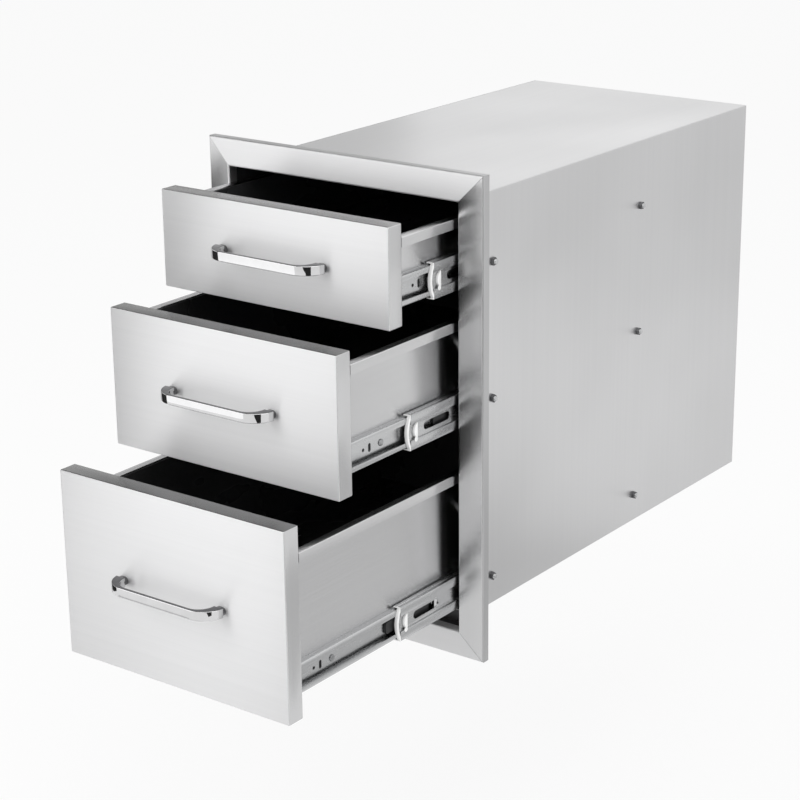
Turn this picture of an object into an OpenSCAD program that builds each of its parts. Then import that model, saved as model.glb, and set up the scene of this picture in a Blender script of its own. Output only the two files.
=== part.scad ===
// Built-in triple drawer unit for an outdoor kitchen, drawn part open.
// The origin is the middle of the cut-out's lower edge, in the seat plane: +Z up, the drawers open along -Y.

/* [Face frame] */
// Width of the face frame
frame_w = 355.6; // [330:0.1:420]
// Height of the face frame
frame_h = 520.7; // [490:0.1:600]
// Width of each rail
rail_w = 29.5; // [24:0.5:36]
// Depth of the rails' outer edges in front of the seat plane
frame_d = 10; // [9:0.5:12]
// How far the rails' inner edges stand ahead of their outer edges
rail_rise = 3; // [1:0.5:5]
// Radius of the rails' front edges
rail_edge_r = 2; // [1.5:0.25:3.5]

/* [Box] */
// Depth of the box behind the seat plane
box_d = 580; // [560:1:640]
// Thickness of the steel sheet
sheet = 0.9; // [0.6:0.1:1.2]
// Height of the floor's underside above the opening's lower edge
floor_step = 12.5; // [11:0.5:15]
// Depth of the sill behind the seat plane
sill_d = 10; // [9.5:0.5:11]
// Radius of the holes for mounting screws
mount_hole_r = 2.5; // [1.5:0.1:3.5]
// Distance of the mounting holes behind the seat plane
mount_hole_y = 25; // [15:1:35]
// Height of the lower mounting hole above the origin
mount_hole_z = 120; // [100:1:140]
// Height between the two mounting holes of a side
mount_hole_spacing = 180; // [170:1:195]

/* [Drawer fronts] */
// Gap around each closed front
front_gap = 3; // [2:0.25:4]
// Thickness of a double-walled front
front_t = 21; // [18:0.5:22]
// Height of the top front
top_front_h = 103; // [95:0.5:110]
// Height of the middle front
middle_front_h = 146.5; // [135:0.5:155]
// Width of the hem folded in behind the fronts' edges
front_hem_w = 12; // [8:0.5:18]

/* [Drawer boxes] */
// Distance from the top front's upper edge down to its box's rim
top_rim_drop = 13.7; // [10:0.1:18]
// Distance from the middle front's upper edge down to its box's rim
middle_rim_drop = 14; // [10:0.1:18]
// Distance from the bottom front's upper edge down to its box's rim
bottom_rim_drop = 28; // [20:0.5:36]
// Width of the lip turned outward along a box side's rim
lip_w = 9; // [6:0.25:10]
// Height of the lip's folded-down edge
lip_h = 10.5; // [6:0.5:14]
// Height of the flanges folded down along a drawer floor's sides
floor_flange_h = 8; // [5:0.5:12]
// Distance from a slide's middle down to the box's underside
box_below_slide = 15.5; // [14.6:0.1:18]
// Thickness of the black liner
liner_t = 1.2; // [0.8:0.1:2]
// How far the liner ends below the rim
liner_drop = 1.5; // [1:0.1:4]

/* [Slides] */
// Length of the cabinet members and drawer members
slide_l = 500; // [480:1:520]
// Thickness of a closed slide
slide_t = 12.7; // [12.4:0.1:13.2]
// Height of a cabinet member
cab_member_h = 45.6; // [45:0.1:47]
// Height of an intermediate member
mid_member_h = 37.2; // [37:0.1:37.6]
// Height of a drawer member's web
drawer_member_h = 33; // [32:0.1:34]
// Height of a drawer member's channel
drawer_channel_h = 29.6; // [29:0.1:29.8]
// Steel thickness of the cabinet members and drawer members
member_t = 1.2; // [1:0.05:1.25]
// Steel thickness of the intermediate members
mid_t = 1.1; // [0.9:0.05:1.15]
// Height of the slides' middles above the top front's lower edge
top_slide_up = 34; // [30:0.5:40]
// Height of the slides' middles above the middle front's lower edge
middle_slide_up = 37; // [30:0.5:45]
// Height of the slides' middles above the bottom front's lower edge
bottom_slide_up = 41; // [36:0.5:50]
// Radius of the bolts that hold a slide to the box
bolt_r = 2.5; // [2:0.1:3]
// Distance of the front bolt behind the slide's front end
bolt_front = 34; // [30:1:45]
// Distance between the two bolts of a slide
bolt_pitch = 292; // [250:1:320]

/* [Ball bearings] */
// Radius of the balls between a cabinet member and an intermediate member
outer_ball_r = 1.4; // [1.2:0.05:1.45]
// Radius of the balls between an intermediate member and a drawer member
inner_ball_r = 1.2; // [1:0.05:1.25]
// Number of balls in a row
ball_count = 6; // [3:1:8]
// Length of a ball cage
cage_length = 180; // [150:1:190]

/* [Handles] */
// Overall length of a handle
handle_l = 142; // [140:1:150]
// Distance from a front to the outer face of its handle
handle_standoff = 26; // [24:0.5:34]
// Thickness of a handle's strap
strap_t = 4; // [3:0.25:5.5]
// Height of a handle's strap
strap_h = 10; // [9:0.5:14]
// Distance between a handle's two screws
handle_pitch = 128; // [126:0.5:130]
// Width of a handle's legs at their feet
leg_w = 12; // [9:0.5:14]
// Length of the feet between the legs and the front
foot_l = 6; // [4:0.5:8]
// Width of a foot
foot_w = 12; // [10:0.5:12]
// Height of a foot
foot_h = 8.8; // [7:0.1:9]
// Radius of a handle screw
handle_screw_r = 2; // [1.5:0.1:2.5]

/* [Shown position] */
// Distance that the top drawer stands open
top_open = 109; // [0:1:400]
// Distance that the middle drawer stands open
middle_open = 192; // [0:1:400]
// Distance that the bottom drawer stands open
bottom_open = 275.5; // [0:0.5:400]

/* [Hidden] */
$fn = 48;

// Overrun of every cut
cut = 1;
// Clearance around a shank in its hole
hole_clear = 0.1;
// Clearance between a closed front and the slide ends behind it
front_clear = 0.6;

// Rows of drawers, from the top one down
TOP = 0;
MIDDLE = 1;
BOTTOM = 2;

// The opening in the face frame, and the box around it
open_w = frame_w - 2 * rail_w;
open_h = frame_h - 2 * rail_w;
open_z = sheet;
frame_z = open_z - rail_w;
box_in = open_w / 2 + sheet;
floor_z = open_z + floor_step;
top_z = open_z + open_h + 2 * sheet;
wall_z = floor_z + sheet;

// Fronts: closed, their faces are flush with the rails' inner edges
front_w = open_w - 2 * front_gap;
front_hs = [
  top_front_h,
  middle_front_h,
  open_h - 4 * front_gap - top_front_h - middle_front_h
];
bottom_front_z = open_z + front_gap;
middle_front_z = bottom_front_z + front_hs[BOTTOM] + front_gap;
top_front_z = middle_front_z + front_hs[MIDDLE] + front_gap;
front_zs = [top_front_z, middle_front_z, bottom_front_z];
closed_back_y = front_t - frame_d - rail_rise;

// Step in the rails' backs that the box butts into
seat_step = 0.5;
seat_lap = 2 * sheet;
opens = [top_open, middle_open, bottom_open];

// Drawer boxes, a little shorter than their slides
drawer_shorter = 2;
drawer_d = slide_l - drawer_shorter;
side_x = box_in - slide_t;
rim_zs = [
  front_zs[TOP] + front_hs[TOP] - top_rim_drop,
  front_zs[MIDDLE] + front_hs[MIDDLE] - middle_rim_drop,
  front_zs[BOTTOM] + front_hs[BOTTOM] - bottom_rim_drop
];
slide_zs = [
  front_zs[TOP] + top_slide_up,
  front_zs[MIDDLE] + middle_slide_up,
  front_zs[BOTTOM] + bottom_slide_up
];
back_lip_w = 8;

// Share of each drawer's travel that its intermediate members make
mid_travel_shares = [0.59, 0.547, 0.455];

// Slides: the front ends of closed members, and the play between nested ones
slide_setback = 4;
slide_front_y = closed_back_y + slide_setback;
drawer_member_front = 1;
bumper_bow = 6;
bumper_t = 3;
bumper_tab_l = 1.6;
crescent_y = 11;
crescent_bow = 5.5;
crescent_proud = 0.6;
crescent_foot_r = 2.6;
mid_front_y = closed_back_y + front_clear + bumper_bow;
mid_shorter = 10;
mid_l = slide_l - mid_shorter;
member_play = 0.3;

// An intermediate member, measured inward from the box's side
mid_u = 3;
mid_web_u = 5.1;
mid_edge_u = slide_t - member_t - member_play;
mid_band_h = 10.1;
mid_lip_h = 3;
mid_slot_front = 24.5;
mid_slot_l = 44;
mid_slot_h = 9;

// A cabinet member's flanges and turned lips
cab_flange_u = 10.8;
cab_lip_h = 3.2;
bolt_ys = [slide_front_y + bolt_front, slide_front_y + bolt_front + bolt_pitch];
bolt_head_r = 4.2;
bolt_head_t = 1.5;
bolt_end = 5.5;
nut_r = 4.6;
nut_t = 3.4;

// A drawer member's channel, lips and holes, measured back from the drawer front
channel_u = 7;
channel_lip_h = 5;
pilot_y = 27;
pilot_r = 1.8;
slot_y = 37;
slot_r = 2;
slot_h = 9;
first_rivet_y = 55;
last_rivet_back = 46;
rivet_pitch = (slide_l - first_rivet_y - last_rivet_back) / 2;
rivet_ys = [for (i = [0:2]) first_rivet_y + i * rivet_pitch];
rivet_r = 2;
rivet_head_r = 3.6;
rivet_head_t = 1.2;
lever_front_gap = 84.5;
lever_back_gap = 41.5;
lever_y = first_rivet_y + lever_front_gap;
lever_l = rivet_pitch - lever_front_gap - lever_back_gap;
lever_h = 13;
lever_u = 8.7;

// Ball rows and their cages
cage_t = 0.8;
ball_play = 0.1;
outer_row_v = mid_member_h / 2 + ball_play + outer_ball_r;
outer_row_u = 6;
outer_cage_us = [3.4, 9];
outer_cage_front = 148;
inner_row_v = mid_member_h / 2 - mid_t - ball_play - inner_ball_r;
inner_row_u = 8.4;
cage_play = 0.15;
inner_cage_u = mid_web_u + mid_t + cage_play;
inner_cage_plate_t = 0.5;
inner_cage_edge_u = mid_edge_u - mid_t - cage_play;
inner_cage_front = 144;
cage_end = 15;
ball_pitch = (cage_length - 2 * cage_end) / (ball_count - 1);

// Handles and the screws behind them
leg_straight = 1;
bend_r = handle_standoff - leg_straight;
inner_bend_r = 17;
screw_bore_l = 14;
screw_l = 10;
screw_head_r = 4;
screw_head_t = 2.6;
access_r = 6;

// Screws at the two ends of the sill
sill_screw_r = 1.5;
sill_screw_l = 3.6;
sill_screw_head_r = 2.4;
sill_screw_head_t = 0.6;
sill_screw_in = 8;

// Colours
steel = "Silver";
bright_steel = "Gainsboro";
zinc = "DarkGray";
black = "DimGray";
white = "WhiteSmoke";

// Points of an arc about a centre
function arc(centre, r, a0, a1, steps) =
  [for (i = [0:steps]) centre + r * [cos(a0 + (a1 - a0) * i / steps), sin(a0 + (a1 - a0) * i / steps)]];

// A shape and its mirror image on the other side of the unit
module pair() {
  children();
  mirror([1, 0, 0]) children();
}

// An outline in x and z, drawn out to the rear from y0
module along_y(y0, l) {
  translate([0, y0 + l, 0]) rotate([90, 0, 0]) linear_extrude(l) children();
}

// A rod along x, y or z that starts at a point
module rod_x(from, r, l) {
  translate(from) rotate([0, 90, 0]) cylinder(h = l, r = r);
}
module rod_y(from, r, l) {
  translate(from) rotate([-90, 0, 0]) cylinder(h = l, r = r);
}

// A rectangle in a slide's section: u runs inward from the box's side, v up from the slide's middle
module sec(us, vs) {
  translate([box_in - us[1], vs[0]]) square([us[1] - us[0], vs[1] - vs[0]]);
}
// The same rectangle above and below the slide's middle
module sec_both(us, vs) {
  sec(us, vs);
  sec(us, [-vs[1], -vs[0]]);
}

// The outline of a rail's section: x from the opening outward, y ahead of the seat, drawn inset
rail_face_y = -frame_d - rail_rise;
rail_slope = atan2(rail_rise, rail_w - 2 * rail_edge_r);
arc_steps = 6;
function rail_outline(inset) = concat(
  [[inset, -seat_step - inset]],
  arc([rail_edge_r, rail_face_y + rail_edge_r], rail_edge_r - inset, 180, 270 + rail_slope, arc_steps),
  arc([rail_w - rail_edge_r, rail_edge_r - frame_d], rail_edge_r - inset, 270 + rail_slope, 360, arc_steps),
  [[rail_w - inset, -inset], [seat_lap + inset, -inset], [seat_lap + inset, -seat_step - inset]]
);

// A hollow rail of length l along z, its opening side at x = 0
module rail_bar(l) {
  linear_extrude(l) difference() {
    polygon(rail_outline(0));
    polygon(rail_outline(sheet));
  }
}

// A rail cut to its mitres: l along the frame's outer edge
module mitred_rail(l) {
  intersection() {
    translate([0, 0, -l / 2]) rail_bar(l);
    translate([0, cut, 0]) rotate([90, 0, 0]) linear_extrude(frame_d + rail_rise + 2 * cut)
      polygon([[0, rail_w - l / 2], [rail_w, -l / 2], [rail_w, l / 2], [0, l / 2 - rail_w]]);
  }
}

module frame_right_rail() {
  color(bright_steel) translate([open_w / 2, 0, frame_z + frame_h / 2]) mitred_rail(frame_h);
}
module frame_left_rail() {
  color(bright_steel) mirror([1, 0, 0])
    translate([open_w / 2, 0, frame_z + frame_h / 2]) mitred_rail(frame_h);
}
module frame_top_rail() {
  color(bright_steel) translate([0, 0, open_z + open_h]) rotate([0, -90, 0]) mitred_rail(frame_w);
}
module frame_bottom_rail() {
  color(bright_steel) translate([0, 0, open_z]) rotate([0, 90, 0]) mitred_rail(frame_w);
}

// The right side of the box, with its slide bolt holes, mounting holes and the tab that closes the sill
module side_panel() {
  difference() {
    union() {
      translate([box_in, -seat_step, floor_z]) cube([sheet, seat_step + box_d, top_z - floor_z]);
      translate([box_in, -seat_step, 0]) cube([sheet, seat_step + sill_d, floor_z]);
    }
    for (d = [TOP:BOTTOM], y = bolt_ys)
      rod_x([box_in - cut, y, slide_zs[d]], bolt_r + hole_clear, sheet + 2 * cut);
    for (z = [mount_hole_z, mount_hole_z + mount_hole_spacing])
      rod_x([box_in - cut, mount_hole_y, z], mount_hole_r, sheet + 2 * cut);
  }
}
module side_panel_right() {
  color(steel) side_panel();
}
module side_panel_left() {
  color(steel) mirror([1, 0, 0]) side_panel();
}
module top_panel() {
  color(steel) translate([-box_in, -seat_step, top_z - sheet])
    cube([2 * box_in, seat_step + box_d, sheet]);
}
module floor_panel() {
  color(steel) translate([-box_in, sill_d - sheet, floor_z])
    cube([2 * box_in, box_d - sill_d + sheet, sheet]);
}
module back_panel() {
  color(steel) translate([-box_in, box_d - sheet, wall_z]) cube([2 * box_in, sheet, top_z - sheet - wall_z]);
}

// The folded strip from the lower rail back and up to the floor
sill_screw_zs = [open_z + floor_step / 4, open_z + 3 * floor_step / 4];
module at_sill_screws() {
  for (x = [-1, 1], z = sill_screw_zs)
    translate([x * (box_in - sill_screw_in), sill_d - sheet, z]) children();
}
module sill_strip() {
  color(steel) difference() {
    union() {
      translate([-box_in, -seat_step, 0]) cube([2 * box_in, seat_step + sill_d, sheet]);
      translate([-box_in, sill_d - sheet, 0]) cube([2 * box_in, sheet, floor_z]);
    }
    at_sill_screws() rod_y([0, -cut, 0], sill_screw_r + hole_clear, sheet + 2 * cut);
  }
}
module sill_screws() {
  color(zinc) at_sill_screws() {
    rod_y([0, 0, 0], sill_screw_r, sill_screw_l);
    rod_y([0, -sill_screw_head_t, 0], sill_screw_head_r, sill_screw_head_t);
  }
}

// Channels fixed inside the box's sides
module cabinet_member_section() {
  h = cab_member_h / 2;
  sec([0, member_t], [-h, h]);
  sec_both([0, cab_flange_u], [h - member_t, h]);
  sec_both([cab_flange_u - member_t, cab_flange_u], [h - cab_lip_h, h]);
}
module cabinet_slide_members() {
  color(zinc) for (d = [TOP:BOTTOM]) pair() difference() {
    translate([0, 0, slide_zs[d]]) along_y(slide_front_y, slide_l) cabinet_member_section();
    for (y = bolt_ys)
      rod_x([box_in - member_t - cut, y, slide_zs[d]], bolt_r + hole_clear, member_t + 2 * cut);
  }
}
module slide_bolts() {
  color(zinc) for (d = [TOP:BOTTOM], y = bolt_ys) pair() {
    rod_x([box_in - member_t, y, slide_zs[d]], bolt_r, member_t + sheet + bolt_end);
    rod_x([box_in - member_t - bolt_head_t, y, slide_zs[d]], bolt_head_r, bolt_head_t);
  }
}
module slide_nuts() {
  color(bright_steel) for (d = [TOP:BOTTOM], y = bolt_ys) pair() difference() {
    translate([box_in + sheet, y, slide_zs[d]]) rotate([0, 90, 0]) cylinder(h = nut_t, r = nut_r, $fn = 6);
    rod_x([box_in + sheet - cut, y, slide_zs[d]], bolt_r + hole_clear, nut_t + 2 * cut);
  }
}

// The place of a drawer's back face of the front, and of the pieces that share its travel
function drawer_y(d) = closed_back_y - opens[d];
function mid_y(d) = mid_front_y - mid_travel_shares[d] * opens[d];
function outer_cage_y(d) = slide_front_y + outer_cage_front - mid_travel_shares[d] / 2 * opens[d];
function inner_cage_y(d) = closed_back_y + inner_cage_front - (1 + mid_travel_shares[d]) / 2 * opens[d];
function box_z(d) = slide_zs[d] - box_below_slide;
function handle_z(d) = front_zs[d] + front_hs[d] / 2;

// The outer skin of a front: a tray with its edges hemmed in at the back
module drawer_front(d) {
  y = drawer_y(d) - front_t;
  color(bright_steel) difference() {
    translate([-front_w / 2, y, front_zs[d]]) cube([front_w, front_t, front_hs[d]]);
    translate([sheet - front_w / 2, y + sheet, front_zs[d] + sheet])
      cube([front_w - 2 * sheet, front_t - 2 * sheet, front_hs[d] - 2 * sheet]);
    translate([front_hem_w - front_w / 2, y + sheet, front_zs[d] + front_hem_w])
      cube([front_w - 2 * front_hem_w, front_t + cut, front_hs[d] - 2 * front_hem_w]);
    for (x = [-1, 1])
      rod_y([x * handle_pitch / 2, y - cut, handle_z(d)], handle_screw_r + hole_clear, sheet + 2 * cut);
  }
}
// The plate that closes a front from inside its hems, with access holes to the handle's screws
module drawer_front_panel(d) {
  color(steel) difference() {
    translate([sheet - front_w / 2, drawer_y(d) - 2 * sheet, front_zs[d] + sheet])
      cube([front_w - 2 * sheet, sheet, front_hs[d] - 2 * sheet]);
    handle_access(d, drawer_y(d) - 2 * sheet, sheet);
  }
}
module handle_access(d, y, l) {
  for (x = [-1, 1]) rod_y([x * handle_pitch / 2, y - cut, handle_z(d)], access_r, l + 2 * cut);
}

// The folded section of a drawer side, on the right
module side_section(d) {
  translate([side_x - sheet, box_z(d)]) square([sheet, rim_zs[d] - box_z(d)]);
  translate([side_x - sheet, rim_zs[d] - sheet]) square([lip_w + sheet, sheet]);
  translate([side_x + lip_w - sheet, rim_zs[d] - lip_h]) square([sheet, lip_h]);
}
module drawer_sides(d) {
  color(steel) pair() difference() {
    along_y(drawer_y(d), drawer_d) side_section(d);
    for (y = rivet_ys)
      rod_x([side_x - sheet - cut, drawer_y(d) + y, slide_zs[d]], rivet_r + hole_clear, sheet + 2 * cut);
  }
}
module drawer_back(d) {
  y = drawer_y(d) + drawer_d - sheet;
  color(steel) {
    translate([sheet - side_x, y, box_z(d)])
      cube([2 * (side_x - sheet), sheet, rim_zs[d] - box_z(d)]);
    translate([sheet - side_x, y, rim_zs[d] - sheet]) cube([2 * (side_x - sheet), back_lip_w, sheet]);
  }
}
// A floor pan between the sides, its edges folded down
module drawer_floor(d) {
  w = 2 * (side_x - sheet);
  l = drawer_d - sheet;
  color(steel) {
    translate([-w / 2, drawer_y(d), box_z(d) + floor_flange_h - sheet]) cube([w, l, sheet]);
    pair() translate([w / 2 - sheet, drawer_y(d), box_z(d)]) cube([sheet, l, floor_flange_h]);
  }
}
module drawer_liner(d) {
  w = 2 * (side_x - sheet);
  l = drawer_d - sheet;
  z = box_z(d) + floor_flange_h;
  color(black) difference() {
    translate([-w / 2, drawer_y(d), z]) cube([w, l, rim_zs[d] - liner_drop - z]);
    translate([liner_t - w / 2, drawer_y(d) + liner_t, z + liner_t])
      cube([w - 2 * liner_t, l - 2 * liner_t, rim_zs[d] - z]);
    handle_access(d, drawer_y(d), liner_t);
  }
}

// The outline of a bow over a handle's length, its ends at a distance ahead of the front
module bow(l, reach, r, base) {
  intersection() {
    union() {
      translate([-l / 2, r - reach]) square([l, reach - r]);
      translate([r - l / 2, -reach]) square([l - 2 * r, reach]);
      for (x = [-1, 1]) translate([x * (l / 2 - r), r - reach]) circle(r);
    }
    translate([-l / 2, -reach]) square([l, reach - base]);
  }
}
// A bowed strap that thickens into two legs, on feet with blind bores for the screws
module drawer_handle(d) {
  y = drawer_y(d) - front_t;
  round_r = foot_h / 2;
  color(bright_steel) translate([0, y, handle_z(d)]) difference() {
    union() {
      translate([0, 0, -strap_h / 2]) linear_extrude(strap_h) difference() {
        bow(handle_l, handle_standoff, bend_r, foot_l);
        bow(handle_l - 2 * leg_w, handle_standoff - strap_t, inner_bend_r, 0);
      }
      for (x = [-1, 1]) translate([x * handle_pitch / 2, 0, 0]) {
        translate([round_r - foot_w / 2, -foot_l, -round_r]) cube([foot_w - foot_h, foot_l, foot_h]);
        for (s = [-1, 1]) rod_y([s * (foot_w / 2 - round_r), -foot_l, 0], round_r, foot_l);
      }
    }
    for (x = [-1, 1])
      rod_y([x * handle_pitch / 2, -screw_bore_l, 0], handle_screw_r + hole_clear, screw_bore_l + cut);
  }
}
module drawer_handle_screws(d) {
  y = drawer_y(d) - front_t;
  color(zinc) for (x = [-1, 1]) {
    rod_y([x * handle_pitch / 2, y - screw_l, handle_z(d)], handle_screw_r, screw_l + sheet);
    rod_y([x * handle_pitch / 2, y + sheet, handle_z(d)], screw_head_r, screw_head_t);
  }
}

// The channels fixed to a drawer's sides, with their pilot hole and slot near the front
module drawer_member_section() {
  v = drawer_channel_h / 2;
  sec([slide_t - member_t, slide_t], [-drawer_member_h / 2, drawer_member_h / 2]);
  sec_both([channel_u, slide_t], [v - member_t, v]);
  sec_both([channel_u, channel_u + member_t], [v - channel_lip_h, v]);
}
module drawer_slide_members(d) {
  y = drawer_y(d);
  x = side_x - cut;
  l = member_t + 2 * cut;
  z = slide_zs[d];
  color(zinc) pair() difference() {
    translate([0, 0, z]) along_y(y + drawer_member_front, slide_l) drawer_member_section();
    rod_x([x, y + pilot_y, z], pilot_r, l);
    for (v = [-1, 1]) rod_x([x, y + slot_y, z + v * (slot_h / 2 - slot_r)], slot_r, l);
    translate([x, y + slot_y - slot_r, z - slot_h / 2 + slot_r]) cube([l, 2 * slot_r, slot_h - 2 * slot_r]);
    for (r = rivet_ys) rod_x([x, y + r, z], rivet_r + hole_clear, l);
  }
}
module drawer_slide_rivets(d) {
  color(bright_steel) pair() for (r = rivet_ys) {
    rod_x([side_x - sheet, drawer_y(d) + r, slide_zs[d]], rivet_r, sheet + member_t);
    rod_x([side_x + member_t, drawer_y(d) + r, slide_zs[d]], rivet_head_r, rivet_head_t);
  }
}
// Black plastic levers in the channels, between two rivets
module drawer_release_levers(d) {
  color(black) pair() translate([0, 0, slide_zs[d]]) along_y(drawer_y(d) + lever_y, lever_l)
    sec([lever_u, slide_t - member_t], [-lever_h / 2, lever_h / 2]);
}

// The intermediate members: two bands that carry the ball races, and a recessed web with a long slot
module mid_member_section() {
  h = mid_member_h / 2;
  sec([mid_web_u, mid_web_u + mid_t], [mid_band_h - h, h - mid_band_h]);
  sec_both([mid_u, mid_web_u + mid_t], [h - mid_band_h, h - mid_band_h + mid_t]);
  sec_both([mid_u, mid_u + mid_t], [h - mid_band_h, h]);
  sec_both([mid_u, mid_edge_u], [h - mid_t, h]);
  sec_both([mid_edge_u - mid_t, mid_edge_u], [h - mid_lip_h, h]);
}
module intermediate_members(d) {
  y = mid_y(d);
  slot_r2 = mid_slot_h / 2;
  x = box_in - mid_web_u - mid_t - cut;
  l = mid_t + 2 * cut;
  color(zinc) pair() difference() {
    translate([0, 0, slide_zs[d]]) along_y(y, mid_l) mid_member_section();
    for (s = [mid_slot_front + slot_r2, mid_slot_front + mid_slot_l - slot_r2])
      rod_x([x, y + s, slide_zs[d]], slot_r2, l);
    translate([x, y + mid_slot_front + slot_r2, slide_zs[d] - slot_r2])
      cube([l, mid_slot_l - mid_slot_h, mid_slot_h]);
  }
}

// White end pieces: a bowed bar over an intermediate member's front end, and a crescent behind it
function bow_radius(half_chord, rise) = (half_chord * half_chord + rise * rise) / (2 * rise);

// The part of a disc that stands ahead of y = 0, as high as twice half_chord
module disc_segment(half_chord, rise) {
  r = bow_radius(half_chord, rise);
  intersection() {
    translate([r - rise, 0]) circle(r);
    translate([-rise, -half_chord]) square([rise, 2 * half_chord]);
  }
}
// An outline in y and z, drawn out inward between two distances from the box's side
module along_u(us) {
  translate([box_in - us[1], 0, 0]) rotate([90, 0, 90]) linear_extrude(us[1] - us[0]) children();
}
module bumper(d) {
  h = mid_member_h / 2;
  recess = h - mid_band_h;
  r = bow_radius(h, bumper_bow);
  translate([0, mid_y(d), slide_zs[d]]) {
    along_u([mid_u, channel_u - member_play]) difference() {
      disc_segment(h, bumper_bow);
      translate([r - bumper_bow + bumper_t, 0]) circle(r);
    }
    for (s = [-1, 1]) along_u([mid_u, mid_edge_u])
      translate([-bumper_tab_l, s * (h - mid_t / 2) - mid_t / 2]) square([bumper_tab_l, mid_t]);
    along_u([mid_u - crescent_proud, mid_web_u])
      translate([crescent_y, 0]) disc_segment(recess, crescent_bow);
    along_u([mid_u - crescent_proud, mid_u])
      translate([crescent_y - crescent_foot_r, -recess]) circle(crescent_foot_r);
  }
}
module slide_bumpers(d) {
  color(white) pair() bumper(d);
}

// Ball rows above and below each intermediate member, in strip cages
module ball_row(y, u, v, r) {
  for (i = [0:ball_count - 1]) translate([box_in - u, y + cage_end + i * ball_pitch, v]) sphere(r);
}
module outer_ball_cages(d) {
  y = outer_cage_y(d);
  color(bright_steel) pair() for (s = [-1, 1]) translate([0, 0, slide_zs[d] + s * outer_row_v]) {
    difference() {
      along_y(y, cage_length) sec(outer_cage_us, [-cage_t / 2, cage_t / 2]);
      for (i = [0:ball_count - 1])
        translate([box_in - outer_row_u, y + cage_end + i * ball_pitch, -cut])
          cylinder(h = 2 * cut, r = outer_ball_r + ball_play);
    }
    ball_row(y, outer_row_u, 0, outer_ball_r);
  }
}
module inner_ball_cages(d) {
  y = inner_cage_y(d);
  edge_v = inner_row_v + cage_t / 2;
  color(bright_steel) pair() translate([0, 0, slide_zs[d]]) {
    difference() {
      along_y(y, cage_length) {
        sec([inner_cage_u, inner_cage_u + inner_cage_plate_t], [-edge_v, edge_v]);
        sec_both([inner_cage_u, inner_cage_edge_u], [edge_v - cage_t, edge_v]);
      }
      for (i = [0:ball_count - 1], s = [-1, 1])
        translate([box_in - inner_row_u, y + cage_end + i * ball_pitch, s * inner_row_v - cut])
          cylinder(h = 2 * cut, r = inner_ball_r + ball_play);
    }
    for (s = [-1, 1]) ball_row(y, inner_row_u, s * inner_row_v, inner_ball_r);
  }
}

side_panel_left();
side_panel_right();
top_panel();
floor_panel();
back_panel();
sill_strip();
frame_top_rail();
frame_bottom_rail();
frame_left_rail();
frame_right_rail();
cabinet_slide_members();
slide_bolts();
slide_nuts();
sill_screws();
drawer_front(TOP);  // top_drawer_front
drawer_front_panel(TOP);  // top_drawer_front_panel
drawer_sides(TOP);  // top_drawer_sides
drawer_back(TOP);  // top_drawer_back
drawer_floor(TOP);  // top_drawer_floor
drawer_liner(TOP);  // top_drawer_liner
drawer_handle(TOP);  // top_drawer_handle
drawer_handle_screws(TOP);  // top_drawer_handle_screws
drawer_slide_members(TOP);  // top_drawer_slide_members
drawer_slide_rivets(TOP);  // top_drawer_slide_rivets
drawer_release_levers(TOP);  // top_drawer_release_levers
intermediate_members(TOP);  // top_intermediate_members
slide_bumpers(TOP);  // top_slide_bumpers
outer_ball_cages(TOP);  // top_outer_ball_cages
inner_ball_cages(TOP);  // top_inner_ball_cages
drawer_front(MIDDLE);  // middle_drawer_front
drawer_front_panel(MIDDLE);  // middle_drawer_front_panel
drawer_sides(MIDDLE);  // middle_drawer_sides
drawer_back(MIDDLE);  // middle_drawer_back
drawer_floor(MIDDLE);  // middle_drawer_floor
drawer_liner(MIDDLE);  // middle_drawer_liner
drawer_handle(MIDDLE);  // middle_drawer_handle
drawer_handle_screws(MIDDLE);  // middle_drawer_handle_screws
drawer_slide_members(MIDDLE);  // middle_drawer_slide_members
drawer_slide_rivets(MIDDLE);  // middle_drawer_slide_rivets
drawer_release_levers(MIDDLE);  // middle_drawer_release_levers
intermediate_members(MIDDLE);  // middle_intermediate_members
slide_bumpers(MIDDLE);  // middle_slide_bumpers
outer_ball_cages(MIDDLE);  // middle_outer_ball_cages
inner_ball_cages(MIDDLE);  // middle_inner_ball_cages
drawer_front(BOTTOM);  // bottom_drawer_front
drawer_front_panel(BOTTOM);  // bottom_drawer_front_panel
drawer_sides(BOTTOM);  // bottom_drawer_sides
drawer_back(BOTTOM);  // bottom_drawer_back
drawer_floor(BOTTOM);  // bottom_drawer_floor
drawer_liner(BOTTOM);  // bottom_drawer_liner
drawer_handle(BOTTOM);  // bottom_drawer_handle
drawer_handle_screws(BOTTOM);  // bottom_drawer_handle_screws
drawer_slide_members(BOTTOM);  // bottom_drawer_slide_members
drawer_slide_rivets(BOTTOM);  // bottom_drawer_slide_rivets
drawer_release_levers(BOTTOM);  // bottom_drawer_release_levers
intermediate_members(BOTTOM);  // bottom_intermediate_members
slide_bumpers(BOTTOM);  // bottom_slide_bumpers
outer_ball_cages(BOTTOM);  // bottom_outer_ball_cages
inner_ball_cages(BOTTOM);  // bottom_inner_ball_cages
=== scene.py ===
from math import atan2, cos, hypot, pi, radians, sin

import bmesh
import bpy
from mathutils import Matrix, Vector


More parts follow.
